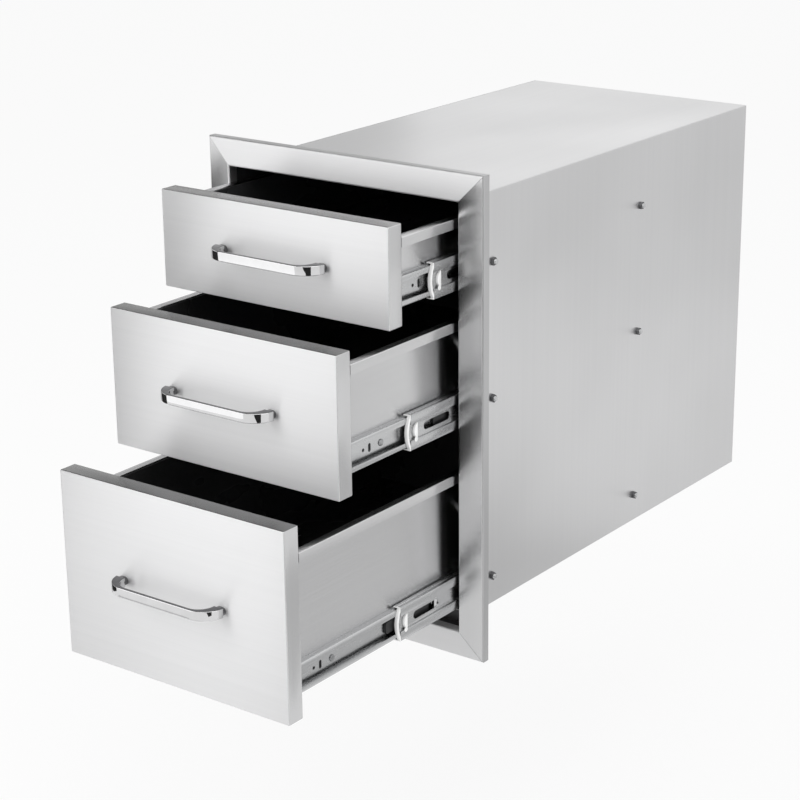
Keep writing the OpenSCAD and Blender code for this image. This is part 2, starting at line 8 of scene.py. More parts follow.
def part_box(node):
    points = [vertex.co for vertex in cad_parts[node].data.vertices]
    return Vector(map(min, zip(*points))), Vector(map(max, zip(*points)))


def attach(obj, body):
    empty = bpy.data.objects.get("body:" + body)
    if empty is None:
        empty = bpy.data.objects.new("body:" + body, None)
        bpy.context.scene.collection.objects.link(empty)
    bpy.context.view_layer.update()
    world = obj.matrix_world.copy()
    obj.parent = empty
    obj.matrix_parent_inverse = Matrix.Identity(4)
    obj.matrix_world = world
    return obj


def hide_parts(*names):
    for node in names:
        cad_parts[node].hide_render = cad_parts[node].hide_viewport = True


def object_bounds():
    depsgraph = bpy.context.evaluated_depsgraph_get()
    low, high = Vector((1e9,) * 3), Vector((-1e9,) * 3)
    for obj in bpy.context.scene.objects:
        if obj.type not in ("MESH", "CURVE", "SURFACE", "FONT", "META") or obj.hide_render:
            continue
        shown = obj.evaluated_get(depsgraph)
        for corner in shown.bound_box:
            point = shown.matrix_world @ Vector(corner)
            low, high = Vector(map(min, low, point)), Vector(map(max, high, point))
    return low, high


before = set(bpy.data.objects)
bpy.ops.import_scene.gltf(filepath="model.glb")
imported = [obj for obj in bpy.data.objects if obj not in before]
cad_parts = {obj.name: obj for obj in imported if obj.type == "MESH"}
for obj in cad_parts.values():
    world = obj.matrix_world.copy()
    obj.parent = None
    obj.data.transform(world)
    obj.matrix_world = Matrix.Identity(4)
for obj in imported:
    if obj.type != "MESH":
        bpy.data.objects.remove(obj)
cad_low, cad_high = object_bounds()

# Box panels
# The two sides, the top, the floor and the back are 0.9 mm brushed stainless sheet, coated black inside.
# They are folded and spot-welded into the box that slides into the island's cut-out.
MM = 0.001
OVER = 1 * MM


def put_down():
    """Object mode, with nothing selected."""
    if bpy.context.mode != "OBJECT":
        bpy.ops.object.mode_set(mode="OBJECT")
    bpy.ops.object.select_all(action="DESELECT")


def take(piece):
    """Select the piece alone, as the one that is worked on."""
    put_down()
    piece.select_set(True)
    bpy.context.view_layer.objects.active = piece


def settle(piece, name):
    """Name the selected piece, and put its place, turn and scale into its mesh."""
    piece.name = name
    piece.data.name = name
    bpy.ops.object.transform_apply(location=True, rotation=True, scale=True)
    return piece


def block(name, low, high):
    """A cube stretched between two corners."""
    low, high = Vector(low), Vector(high)
    put_down()
    bpy.ops.mesh.primitive_cube_add(size=1, location=(low + high) / 2)
    piece = bpy.context.object
    piece.scale = high - low
    return settle(piece, name)


def rod(name, foot, radius, length, axis="X", sides=32):
    """A cylinder that starts at a point and runs along an axis."""
    turn = {"X": (0, pi / 2, 0), "Y": (-pi / 2, 0, 0)}[axis]
    run = Vector([length if letter == axis else 0 for letter in "XYZ"])
    put_down()
    bpy.ops.mesh.primitive_cylinder_add(
        vertices=sides, radius=radius, depth=length, location=Vector(foot) + run / 2, rotation=turn)
    return settle(bpy.context.object, name)


def pick(piece, kind, chosen=lambda part: True):
    """Edit mode, with only those points, edges or faces selected that the test chooses."""
    take(piece)
    bpy.ops.object.mode_set(mode="EDIT")
    bpy.ops.mesh.select_mode(type=kind)
    bpy.ops.mesh.select_all(action="DESELECT")
    work = bmesh.from_edit_mesh(piece.data)
    work.normal_update()
    for part in {"VERT": work.verts, "EDGE": work.edges, "FACE": work.faces}[kind]:
        if chosen(part):
            part.select_set(True)
    bmesh.update_edit_mesh(piece.data)


def middle(edge):
    return (edge.verts[0].co + edge.verts[1].co) / 2


def near(a, b, reach=0.05 * MM):
    return abs(a - b) < reach


def runs_along(edge, axis, share=0.999):
    way = (edge.verts[1].co - edge.verts[0].co).normalized()
    return abs(way["XYZ".index(axis)]) > share


def looks(face, way, share=0.9):
    """Whether a face looks along an axis. The way is a sign and a letter, such as -Y."""
    sign = -1 if way[0] == "-" else 1
    return sign * face.normal["XYZ".index(way[1])] > share


def slice_at(piece, point, normal, trim=False):
    """New edges where a plane crosses the piece, or with trim, all beyond the plane cut off and closed."""
    pick(piece, "FACE")
    bpy.ops.mesh.bisect(plane_co=point, plane_no=normal, clear_outer=trim, use_fill=trim)


def draw_out(*move):
    """Extrude what is selected."""
    bpy.ops.mesh.extrude_region_move(TRANSFORM_OT_translate={"value": move})


def round_edges(piece, radius, segments, chosen):
    pick(piece, "EDGE", chosen)
    bpy.ops.mesh.bevel(offset=radius, segments=segments, profile=0.5, affect="EDGES", clamp_overlap=False)
    put_down()


def with_modifier(piece, kind, **settings):
    take(piece)
    modifier = piece.modifiers.new(kind.title(), kind)
    for key, value in settings.items():
        setattr(modifier, key, value)
    bpy.ops.object.modifier_apply(modifier=modifier.name)
    return piece


def cut_out(piece, cutters):
    """Take the cutters' shapes out of the piece. They pass its surfaces by OVER or more."""
    for cutter in cutters:
        with_modifier(piece, "BOOLEAN", object=cutter, operation="DIFFERENCE", solver="EXACT")
        bpy.data.objects.remove(cutter)


def copied(piece, name, move=(0, 0, 0), flip=False):
    """A copy of a piece, moved, or with flip, its mirror image on the other side of the unit."""
    take(piece)
    bpy.ops.object.duplicate()
    twin = bpy.context.object
    twin.location = move
    if flip:
        twin.scale = (-1, 1, 1)
    settle(twin, name)
    if flip:
        pick(twin, "FACE")
        bpy.ops.mesh.normals_make_consistent(inside=False)
        put_down()
    return twin


def coat(piece, material, chosen):
    """Another material on the chosen faces."""
    piece.data.materials.append(material)
    slot = len(piece.data.materials) - 1
    for face in piece.data.polygons:
        if chosen(face):
            face.material_index = slot


def finish(piece, body, nodes, smooth=35):
    """Smooth its bends, and say what it moves with and the solids that it stands for."""
    take(piece)
    bpy.ops.object.shade_smooth_by_angle(angle=radians(smooth))
    piece.select_set(False)
    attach(piece, body)
    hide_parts(*nodes)


def new_material(name):
    material = bpy.data.materials.new(name)
    material.use_nodes = True
    tree = material.node_tree
    return material, tree, tree.nodes["Principled BSDF"]


def add_noise(tree, cycles, detail=3, roughness=0.55):
    """Noise on Object coordinates, with its cycles a metre along each axis."""
    place = tree.nodes.new("ShaderNodeTexCoord")
    mapping = tree.nodes.new("ShaderNodeMapping")
    mapping.inputs["Scale"].default_value = cycles
    noise = tree.nodes.new("ShaderNodeTexNoise")
    noise.inputs["Scale"].default_value = 1
    noise.inputs["Detail"].default_value = detail
    noise.inputs["Roughness"].default_value = roughness
    tree.links.new(place.outputs["Object"], mapping.inputs["Vector"])
    tree.links.new(mapping.outputs["Vector"], noise.inputs["Vector"])
    return noise.outputs["Fac"]


def along_grain(grain, along, across):
    """Cycles a metre for noise that is drawn out along the grain's axis."""
    return [along if letter == grain else across for letter in "XYZ"]


def span(tree, source, low, high, start=0.3, end=0.7):
    """The source's range from start to end, laid on low to high."""
    ramp = tree.nodes.new("ShaderNodeMapRange")
    ramp.inputs["From Min"].default_value = start
    ramp.inputs["From Max"].default_value = end
    ramp.inputs["To Min"].default_value = low
    ramp.inputs["To Max"].default_value = high
    tree.links.new(source, ramp.inputs["Value"])
    return ramp.outputs["Result"]


def tint(tree, colour, *shades):
    """The colour, multiplied by each shade."""
    result = None
    for shade in shades:
        mix = tree.nodes.new("ShaderNodeVectorMath")
        mix.operation = "SCALE"
        if result is None:
            mix.inputs[0].default_value = colour
        else:
            tree.links.new(result, mix.inputs[0])
        tree.links.new(shade, mix.inputs["Scale"])
        result = mix.outputs["Vector"]
    return result


def add_bump(tree, shader, height, distance):
    bump = tree.nodes.new("ShaderNodeBump")
    bump.inputs["Distance"].default_value = distance
    bump.inputs["Strength"].default_value = 1.0
    tree.links.new(height, bump.inputs["Height"])
    tree.links.new(bump.outputs["Normal"], shader.inputs["Normal"])


def brushed_steel(name, colour, roughness, grain, across, stretch=0.85, clouding=0.015, metal=1.0):
    """Steel with fine scratches along the grain's axis: a reflection is drawn out across them."""
    material, tree, shader = new_material(name)
    scratches = add_noise(tree, along_grain(grain, along=2, across=900), detail=4, roughness=0.6)
    streaks = add_noise(tree, along_grain(grain, along=1.2, across=160))
    clouds = add_noise(tree, (3.5, 3.5, 3.5), detail=2)
    shades = (span(tree, scratches, 0.99, 1.01), span(tree, streaks, 0.99, 1.01),
              span(tree, clouds, 1 - clouding, 1 + clouding))
    tree.links.new(tint(tree, colour, *shades), shader.inputs["Base Color"])
    tree.links.new(span(tree, scratches, roughness - 0.015, roughness + 0.015), shader.inputs["Roughness"])
    shader.inputs["Metallic"].default_value = metal
    add_bump(tree, shader, scratches, 0.0012 * MM)
    shader.inputs["Anisotropic"].default_value = stretch
    way = tree.nodes.new("ShaderNodeCombineXYZ")
    for part, reach in zip(way.inputs, across):
        part.default_value = reach
    tree.links.new(way.outputs["Vector"], shader.inputs["Tangent"])
    return material


def black_paint(name, colour, roughness):
    """Smooth black finish with faint dust and rubbed patches."""
    material, tree, shader = new_material(name)
    dust = add_noise(tree, (420, 420, 420), detail=4)
    rub = add_noise(tree, (14, 6, 14))
    shades = (span(tree, dust, 0.8, 1.25), span(tree, rub, 0.85, 1.2))
    tree.links.new(tint(tree, colour, *shades), shader.inputs["Base Color"])
    tree.links.new(span(tree, rub, roughness - 0.06, roughness + 0.1), shader.inputs["Roughness"])
    add_bump(tree, shader, dust, 0.01 * MM)
    return material


# The sides' steel is a little darker than the same sheet on the top: painted shade.
box_side_painted_shade_steel = brushed_steel(
    "box_side_painted_shade_steel", (0.665, 0.665, 0.67), 0.34, "Z", (0.2, 1, 0.1), stretch=0.8, clouding=0.04)
box_top_steel = brushed_steel(
    "box_top_steel", (0.71, 0.71, 0.715), 0.36, "Y", (1, 0.1, 0.2), stretch=0.7, clouding=0.05)
box_back_steel = brushed_steel(
    "box_back_steel", (0.62, 0.62, 0.625), 0.34, "Z", (1, 0.2, 0.1), stretch=0.7, clouding=0.03)
box_black = black_paint("box_black", (0.026, 0.026, 0.027), 0.36)

side_low, side_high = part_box("side_panel_right")
floor_low, floor_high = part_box("floor_panel")
back_low, back_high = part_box("back_panel")
sill_low, sill_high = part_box("sill_strip")
seam_round, top_round = 0.4 * MM, 0.5 * MM
mount_hole_r, mount_hole_y = 2.5 * MM, 25 * MM
mount_hole_zs = (120 * MM, 300 * MM)

side_panel = block("side_panel_right", (side_low.x, side_low.y, floor_low.z), side_high)
slice_at(side_panel, (0, sill_high.y, 0), (0, 1, 0))
pick(side_panel, "FACE", lambda face: looks(face, "-Z") and face.calc_center_median().y < sill_high.y)
draw_out(0, 0, side_low.z - floor_low.z)
put_down()
cut_out(side_panel, [
    rod("hole", (side_low.x - OVER, mount_hole_y, z), mount_hole_r, 3 * OVER) for z in mount_hole_zs])
round_edges(side_panel, 2 * seam_round, 3, lambda edge: (
    near(middle(edge).x, side_high.x) and near(middle(edge).z, side_high.z)))
round_edges(side_panel, seam_round, 2, lambda edge: (
    near(middle(edge).x, side_high.x) and near(middle(edge).y, side_high.y) and runs_along(edge, "Z")))
side_panel.data.materials.append(box_side_painted_shade_steel)
coat(side_panel, box_black, lambda face: looks(face, "-X"))
left_panel = copied(side_panel, "side_panel_left", flip=True)
finish(side_panel, "cabinet", ["side_panel_right"])
finish(left_panel, "cabinet", ["side_panel_left"])

top_panel = block("top_panel", *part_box("top_panel"))
round_edges(top_panel, top_round, 2, lambda edge: (
    near(middle(edge).z, side_high.z) and (runs_along(edge, "Y") or near(middle(edge).y, side_high.y))))
top_panel.data.materials.append(box_top_steel)
coat(top_panel, box_black, lambda face: looks(face, "-Z"))
finish(top_panel, "cabinet", ["top_panel"])

floor_panel = block("floor_panel", floor_low, floor_high)
round_edges(floor_panel, seam_round, 2, lambda edge: near(middle(edge).z, floor_low.z))
floor_panel.data.materials.append(box_top_steel)
coat(floor_panel, box_black, lambda face: looks(face, "+Z"))
finish(floor_panel, "cabinet", ["floor_panel"])

back_panel = block("back_panel", back_low, back_high)
round_edges(back_panel, seam_round, 2, lambda edge: near(middle(edge).y, back_high.y))
back_panel.data.materials.append(box_back_steel)
coat(back_panel, box_black, lambda face: looks(face, "-Y"))
finish(back_panel, "cabinet", ["back_panel"])

# Sill strip
# One piece of the same sheet, folded back from the lower rail and then up to the box's floor.
# It closes the step between the two, and is coated black like the box's inside.
SHEET = 0.9 * MM
sill_bend = 0.8 * MM
sill = block("sill_strip", sill_low, (sill_high.x, sill_high.y, sill_low.z + SHEET))
slice_at(sill, (0, sill_high.y - SHEET, 0), (0, 1, 0))
pick(sill, "FACE", lambda face: looks(face, "+Z") and face.calc_center_median().y > sill_high.y - SHEET)
draw_out(0, 0, sill_high.z - sill_low.z - SHEET)
put_down()
round_edges(sill, sill_bend, 3, lambda edge: (
    runs_along(edge, "X") and near(middle(edge).y, sill_high.y) and near(middle(edge).z, sill_low.z)))
sill.data.materials.append(box_top_steel)
coat(sill, box_black, lambda face: looks(face, "+Z") or looks(face, "-Y"))
finish(sill, "cabinet", ["sill_strip"])

# Face frame
# Four rails of heavier brushed sheet, folded into hollow bars with rounded front edges and mitred corners.
# The welded mitres are ground flush, and the frame hides the edge of the cut-out.
rail_low, rail_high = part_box("frame_right_rail")
rail_w, rail_rise, rail_round = 29.5 * MM, 3 * MM, 2 * MM
seat_step, seat_lap, mitre_round = 0.5 * MM, 1.8 * MM, 0.25 * MM
frame_w, frame_h = 2 * rail_high.x, rail_high.z - rail_low.z
frame_mid_z = (rail_low.z + rail_high.z) / 2
upright_steel = brushed_steel(
    "upright_rail_steel", (0.74, 0.74, 0.745), 0.20, "Z", (1, 0.4, 0), stretch=0.9)
level_steel = brushed_steel(
    "level_rail_steel", (0.68, 0.68, 0.685), 0.32, "X", (0, 0.4, 1), stretch=0.95, metal=0.8)
frame_edge_steel = brushed_steel(
    "frame_edge_steel", (0.50, 0.50, 0.505), 0.40, "Z", (0, 1, 0.1), stretch=0.2)


def rail(name, outer, length, turn, steel):
    """A bar on the opening's right, mitred at both ends, then turned to its own side of the frame."""
    inner = outer - rail_w
    bar = block(name, (inner, rail_low.y, -length / 2), (outer, 0, length / 2))
    pick(bar, "VERT", lambda v: near(v.co.x, outer) and v.co.y < rail_low.y / 2)
    bpy.ops.transform.translate(value=(0, rail_rise, 0))
    round_edges(bar, rail_round, 5, lambda edge: runs_along(edge, "Z") and middle(edge).y < rail_low.y / 2)
    cut_out(bar, [block("step", (inner - OVER, -seat_step, -length), (inner + seat_lap, OVER, length))])
    for end in (-1, 1):
        slice_at(bar, (outer, 0, end * length / 2), (-1, 0, end), trim=True)
    round_edges(bar, mitre_round, 1, lambda edge: all(
        near(abs(v.co.z) + outer - v.co.x, length / 2) for v in edge.verts))
    take(bar)
    bar.rotation_euler = (0, turn, 0)
    bar.location = (0, 0, frame_mid_z)
    settle(bar, name)
    bar.data.materials.append(steel)
    coat(bar, frame_edge_steel, lambda face: looks(face, "+X", 0.3) or looks(face, "-X", 0.3))
    finish(bar, "cabinet", [name], smooth=25)


rail("frame_right_rail", frame_w / 2, frame_h, 0, upright_steel)
rail("frame_left_rail", frame_w / 2, frame_h, pi, upright_steel)
rail("frame_top_rail", frame_h / 2, frame_w, -pi / 2, level_steel)
rail("frame_bottom_rail", frame_h / 2, frame_w, pi / 2, level_steel)

# Cabinet slide members
# The outer channels of six ball-bearing slides, rolled from 1.2 mm zinc-plated steel.
# Each is bolted flat against the box's side, and its turned lips hold the outer balls.
ROWS = ("top", "middle", "bottom")
box_in = side_low.x
member_t = 1.2 * MM
outer_reach, outer_half_h, outer_lip, outer_bend = 10.8 * MM, 22.8 * MM, 3.2 * MM, 1.3 * MM


def join(pieces):
    put_down()
    for piece in pieces:
        piece.select_set(True)
    bpy.context.view_layer.objects.active = pieces[0]
    bpy.ops.object.join()
    return pieces[0]


def mirrored(piece):
    """The piece and its mirror image on the other side of the unit, in one mesh."""
    return with_modifier(piece, "MIRROR", use_axis=(True, False, False), use_mirror_merge=False)


def folded_sheet(name, section, start, end, bend, thickness, steps=3):
    """Sheet folded to a section of (x, z) points and drawn along Y, its outer face on the path's left."""
    (x0, z0), (x1, z1) = section[:2]
    put_down()
    bpy.ops.mesh.primitive_plane_add(
        size=1, location=((x0 + x1) / 2, (start + end) / 2, (z0 + z1) / 2),
        rotation=(0, -atan2(z1 - z0, x1 - x0), 0))
    sheet = bpy.context.object
    sheet.scale = (hypot(x1 - x0, z1 - z0), end - start, 1)
    settle(sheet, name)
    pick(sheet, "EDGE", lambda edge: near(middle(edge).x, x1) and near(middle(edge).z, z1))
    for (xa, za), (xb, zb) in zip(section[1:], section[2:]):
        draw_out(xb - xa, 0, zb - za)
    round_edges(sheet, bend, steps, lambda edge: len(edge.link_faces) == 2 and runs_along(edge, "Y"))
    return with_modifier(sheet, "SOLIDIFY", thickness=thickness, offset=-1, use_even_offset=True)


def in_slide(points, z):
    """Points of a slide's section: u runs inward from the box's side, v up from the slide's middle."""
    return [(box_in - u, z + v) for u, v in points]


def below(points):
    """The same stretch of a section under the slide's middle, which carries on from it."""
    return [(u, -v) for u, v in reversed(points)]


def bright_zinc(name, colour, roughness):
    """Rolled and plated steel: a bright skin, slightly mottled, with faint lines along the rolling."""
    material, tree, shader = new_material(name)
    mottle = add_noise(tree, (170, 60, 170), detail=4)
    rolling = add_noise(tree, along_grain("Y", along=3, across=700))
    shades = (span(tree, mottle, 0.97, 1.02), span(tree, rolling, 0.98, 1.02))
    tree.links.new(tint(tree, colour, *shades), shader.inputs["Base Color"])
    tree.links.new(span(tree, mottle, roughness - 0.03, roughness + 0.04), shader.inputs["Roughness"])
    shader.inputs["Metallic"].default_value = 1.0
    add_bump(tree, shader, rolling, 0.002 * MM)
    return material


slide_zinc = bright_zinc("slide_zinc", (0.54, 0.545, 0.55), 0.25)
slide_z = {}
for row in ROWS:
    low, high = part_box(row + "_drawer_slide_members")
    slide_z[row] = (low.z + high.z) / 2
members_low, members_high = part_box("cabinet_slide_members")
outer_section = [(outer_reach, outer_half_h - outer_lip), (outer_reach, outer_half_h), (0, outer_half_h)]
outer_section += below(outer_section)
channels = []
for row in ROWS:
    channels.append(folded_sheet(
        "cabinet_slide_members", in_slide(outer_section, slide_z[row]), members_low.y, members_high.y,
        outer_bend, member_t))
members = mirrored(join(channels))
members.data.materials.append(slide_zinc)
finish(members, "cabinet", ["cabinet_slide_members"])

# Slide bolts and nuts
# Flat-headed bolts pass through the cabinet members and the box's sides, two for each slide.
# Plain hexagon nuts hold them on the outside, where the thread's last turns stand out.
front_bolt, rear_bolt = 34 * MM, 326 * MM
shank_r, shank_l = 2.5 * MM, 4.9 * MM
thread_turns, thread_step, root_share = 4, 0.33 * MM, 0.84
tip_l, tip_share = 0.26 * MM, 0.8
bolt_head_r, bolt_head_t, bolt_head_round = 4.2 * MM, 1.5 * MM, 0.8 * MM
nut_r, nut_t, nut_rim, nut_corner, nut_play = 4.6 * MM, 3.4 * MM, 0.5 * MM, 0.15 * MM, 0.05 * MM
nut_turns = (0.15, 0.9, 0.45, 0.75, 0.3, 0.6)
fastener_zinc = bright_zinc("fastener_zinc", (0.34, 0.345, 0.35), 0.14)
# The nuts' zinc is far darker than the same plating on the bolts: painted shade.
nut_zinc_painted_shade = bright_zinc("nut_zinc_painted_shade", (0.12, 0.12, 0.125), 0.16)
bolt_ys = [members_low.y + front_bolt, members_low.y + rear_bolt]
bolt_at = Vector((box_in, bolt_ys[0], slide_z["top"]))

bolt = rod("bolt", bolt_at - Vector((member_t, 0, 0)), shank_r, shank_l, sides=24)
pick(bolt, "FACE", lambda face: looks(face, "+X"))
for turn in range(thread_turns):
    for swell in (root_share, 1 / root_share):
        draw_out(thread_step, 0, 0)
        bpy.ops.transform.resize(value=(1, swell, swell), center_override=bolt_at)
draw_out(tip_l, 0, 0)
bpy.ops.transform.resize(value=(1, tip_share, tip_share), center_override=bolt_at)
put_down()
head_x = bolt_at.x - member_t - bolt_head_t
head = rod("head", (head_x, bolt_at.y, bolt_at.z), bolt_head_r, bolt_head_t)
round_edges(head, bolt_head_round, 3, lambda edge: all(near(v.co.x, head_x) for v in edge.verts))
bolt = join([bolt, head])

nut = rod("nut", bolt_at + Vector((SHEET, 0, 0)), nut_r, nut_t, sides=6)
nut_face_x = bolt_at.x + SHEET + nut_t
round_edges(nut, nut_rim, 2, lambda edge: all(near(v.co.x, nut_face_x) for v in edge.verts))
round_edges(nut, nut_corner, 1, lambda edge: runs_along(edge, "X"))
cut_out(nut, [rod("bore", bolt_at - Vector((OVER, 0, 0)), shank_r + nut_play, 8 * OVER, sides=24)])

bolts, nuts = [], []
for row in ROWS:
    for y in bolt_ys:
        place = Vector((0, y - bolt_at.y, slide_z[row] - bolt_at.z))
        bolts.append(copied(bolt, "slide_bolts", place))
        turned = copied(nut, "slide_nuts", -bolt_at)
        turned.rotation_euler = (nut_turns[len(nuts)], 0, 0)
        turned.location = bolt_at + place
        nuts.append(settle(turned, "slide_nuts"))
for spare in (bolt, nut):
    bpy.data.objects.remove(spare)
for name, parts, zinc in (("slide_bolts", bolts, slide_zinc), ("slide_nuts", nuts, nut_zinc_painted_shade)):
    fasteners = mirrored(join(parts))
    fasteners.name = name
    fasteners.data.materials.append(zinc)
    finish(fasteners, "cabinet", [name], smooth=25)

# Drawer fronts
# Each front is one tray of brushed stainless sheet: a face, four returned edges and a hem behind.
# The corners are welded and ground, and the brushing runs across the face.
hem_w, front_bend = 12 * MM, 1.2 * MM
# The fronts' upper faces carry painted shade: darker copies of the front steel, row by row, darker on the
# lower rows.
upper_edge_painted_shades = (0.44, 0.25, 0.23)
front_steel = brushed_steel(
    "front_steel", (0.80, 0.80, 0.805), 0.42, "X", (0, 0.6, 1), stretch=0.98, metal=0.75)
front_edge_steel = brushed_steel("front_edge_steel", (0.62, 0.62, 0.625), 0.24, "Z", (0, 1, 0.1))


def is_tray_bend(edge, back_y):
    """Whether an edge is a bend of the sheet, and neither a hem's free edge nor a mitre of two hems."""
    on_hem = near(middle(edge).y, back_y)
    beside_wall = any(abs(face.normal.y) < 0.5 for face in edge.link_faces)
    return len(edge.link_faces) == 2 and (beside_wall or not on_hem)


for row, shade in zip(ROWS, upper_edge_painted_shades):
    low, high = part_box(row + "_drawer_front")
    tray = block(row + "_drawer_front", low, high)
    pick(tray, "FACE", lambda face: looks(face, "+Y"))
    bpy.ops.mesh.inset(thickness=hem_w)
    bpy.ops.mesh.delete(type="FACE")
    round_edges(tray, front_bend, 4, lambda edge: is_tray_bend(edge, high.y))
    with_modifier(tray, "SOLIDIFY", thickness=SHEET, offset=-1, use_even_offset=True)
    tray.data.materials.append(front_steel)
    coat(tray, front_edge_steel, lambda face: looks(face, "+X", 0.8) or looks(face, "-X", 0.8))
    # Painted shade on this front's upper face: the same brushed steel at this row's darker level.
    upper_edge_painted_shade_steel = brushed_steel(
        row + "_front_upper_edge_painted_shade", (shade, shade, shade), 0.22, "X", (0, 1, 0.1), stretch=0.9)
    coat(tray, upper_edge_painted_shade_steel, lambda face: looks(face, "+Z", 0.8))
    finish(tray, row + "_drawer", [row + "_drawer_front"])

# Plates behind the fronts
# A flat plate of the same sheet closes each front from behind, inside its hems.
# Two round holes in it give access to the handle's screws.
plate_round = 0.2 * MM


def soften(piece, width, segments, angle):
    """Small rounds on every edge sharper than the angle."""
    with_modifier(
        piece, "BEVEL", width=width, segments=segments, limit_method="ANGLE", angle_limit=radians(angle))


def rounded_part(name, body, width, material):
    """A CAD solid's own shape, merged and with its sharp edges rounded, which stands for that solid."""
    take(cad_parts[name])
    bpy.ops.object.duplicate()
    piece = bpy.context.object
    for key in [key for key in piece.keys() if key.startswith("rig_")]:
        del piece[key]
    piece.parent = None
    settle(piece, name + "_rounded")
    piece.data.materials.clear()
    pick(piece, "FACE")
    bpy.ops.mesh.remove_doubles(threshold=0.001 * MM)
    bpy.ops.mesh.dissolve_limited(angle_limit=radians(0.5))
    soften(piece, width, 2, 40)
    piece.data.materials.append(material)
    finish(piece, body, [name])


inner_steel = brushed_steel("inner_steel", (0.66, 0.66, 0.665), 0.36, "X", (0, 0.4, 1))
for row in ROWS:
    rounded_part(row + "_drawer_front_panel", row + "_drawer", plate_round, inner_steel)

# Handles
# A polished and chromed bow, cast in one piece: a flat strap that bends back into two thicker legs.
# The legs end on short satin feet, and a screw comes up each foot from inside the front.
low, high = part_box("top_drawer_handle")
half_l, front_y, middle_z = high.x, high.y, (low.z + high.z) / 2
reach, strap_t, strap_round, spare_l = front_y - low.y, 4 * MM, 1.8 * MM, 8 * MM
outer_corner, inner_corner = reach - 1 * MM, 17 * MM
leg_w, half_pitch = 12 * MM, 64 * MM
foot_l, foot_w, foot_h, foot_rim, foot_flat = 4 * MM, 12 * MM, 8.8 * MM, 0.3 * MM, 0.02 * MM
strap_slices = [x * MM for x in (-60, -50, -40, -20, 0, 20, 40, 50, 60)]


def polished_chrome(name, colour, roughness, depth):
    """Chrome over a polished casting, with faint smudges and shallow ripples."""
    material, tree, shader = new_material(name)
    smudge = add_noise(tree, (60, 60, 60), detail=4)
    ripple = add_noise(tree, (110, 110, 110), detail=2)
    tree.links.new(tint(tree, colour, span(tree, smudge, 0.95, 1.02)), shader.inputs["Base Color"])
    tree.links.new(span(tree, smudge, roughness * 0.6, roughness * 1.5), shader.inputs["Roughness"])
    shader.inputs["Metallic"].default_value = 1.0
    add_bump(tree, shader, ripple, depth)
    return material


def for_each_row(piece, part, body):
    """Copy a piece made for the top row to its place in every row, and take the first away."""
    top_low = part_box("top" + part)[0]
    for row in ROWS:
        name = row + part
        finish(copied(piece, name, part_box(name)[0] - top_low), row + body, [name])
    bpy.data.objects.remove(piece)


handle_chrome = polished_chrome("handle_chrome", (0.67, 0.67, 0.675), 0.04, 0.002 * MM)
# The chrome on the bow's upper faces and leg tops is much darker: a painted dark reflection.
handle_top_painted_reflection = polished_chrome("handle_chrome_top_painted_reflection", (0.11, 0.11, 0.115), 0.06, 0.002 * MM)
foot_satin = polished_chrome("handle_foot_satin", (0.16, 0.16, 0.165), 0.22, 0.01 * MM)

strap = block("top_drawer_handle", (-half_l, low.y, low.z), (half_l, front_y + spare_l, high.z))
round_edges(strap, outer_corner, 20, lambda edge: runs_along(edge, "Z") and near(middle(edge).y, low.y))
hollow = block("hollow", (leg_w - half_l, low.y + strap_t, low.z - OVER),
               (half_l - leg_w, front_y + spare_l + OVER, high.z + OVER))
round_edges(hollow, inner_corner, 16, lambda edge: (
    runs_along(edge, "Z") and near(middle(edge).y, low.y + strap_t)))
cut_out(strap, [hollow])
slice_at(strap, (0, front_y - foot_l, 0), (0, 1, 0), trim=True)
soften(strap, strap_round, 5, 50)
# The bow's upper and lower faces are parted across, so that each is a row of plain strips.
for x in strap_slices:
    slice_at(strap, (x, 0, 0), (1, 0, 0))
put_down()
feet = []
for side in (-1, 1):
    foot_x = side * half_pitch
    foot = block("foot", (foot_x - foot_w / 2, front_y - foot_l - OVER, middle_z - foot_h / 2),
                 (foot_x + foot_w / 2, front_y, middle_z + foot_h / 2))
    round_edges(foot, (foot_h - foot_flat) / 2, 8, lambda edge: runs_along(edge, "Y"))
    round_edges(foot, foot_rim, 2, lambda edge: all(near(v.co.y, front_y) for v in edge.verts))
    feet.append(foot)
strap.data.materials.append(handle_chrome)
# Painted dark reflection on the bow's upper faces.
coat(strap, handle_top_painted_reflection, lambda face: looks(face, "+Z", 0.8))
for foot in feet:
    foot.data.materials.append(foot_satin)
for_each_row(join([strap] + feet), "_drawer_handle", "_drawer")

# Handle screws
# Two pan-head machine screws of zinc-plated steel for each handle.
# They are driven from behind the front's face, through the plate's holes.
screw_round = 0.3 * MM
for row in ROWS:
    rounded_part(
        row + "_drawer_handle_screws", row + "_drawer", screw_round, fastener_zinc)

# Drawer sides
# Each side is one strip of stainless sheet: a tall web, and a lip turned outward at the rim and down again.
# It is welded to the front's hems. Near them, a hole and a slot for fitting the slide go through it.
rim_w, rim_drop, side_bend = 9.9 * MM, 10.5 * MM, 1.5 * MM
slide_w = 12.7 * MM
member_x = box_in - slide_w
pilot_from_front, pilot_r = 27 * MM, 1.8 * MM
slot_from_front, slot_w, slot_h, slot_flat = 37 * MM, 4 * MM, 9 * MM, 0.1 * MM


def front_holes(front_back_y, z):
    """Cutters for a slide's pilot hole and upright slot, which go through the drawer's side too."""
    start_x, through = member_x - 2 * OVER, 5 * OVER
    slot_y = front_back_y + slot_from_front
    slot = block("slot", (start_x, slot_y - slot_w / 2, z - slot_h / 2),
                 (start_x + through, slot_y + slot_w / 2, z + slot_h / 2))
    round_edges(slot, (slot_w - slot_flat) / 2, 6, lambda edge: runs_along(edge, "X"))
    return [rod("pilot", (start_x, front_back_y + pilot_from_front, z), pilot_r, through), slot]


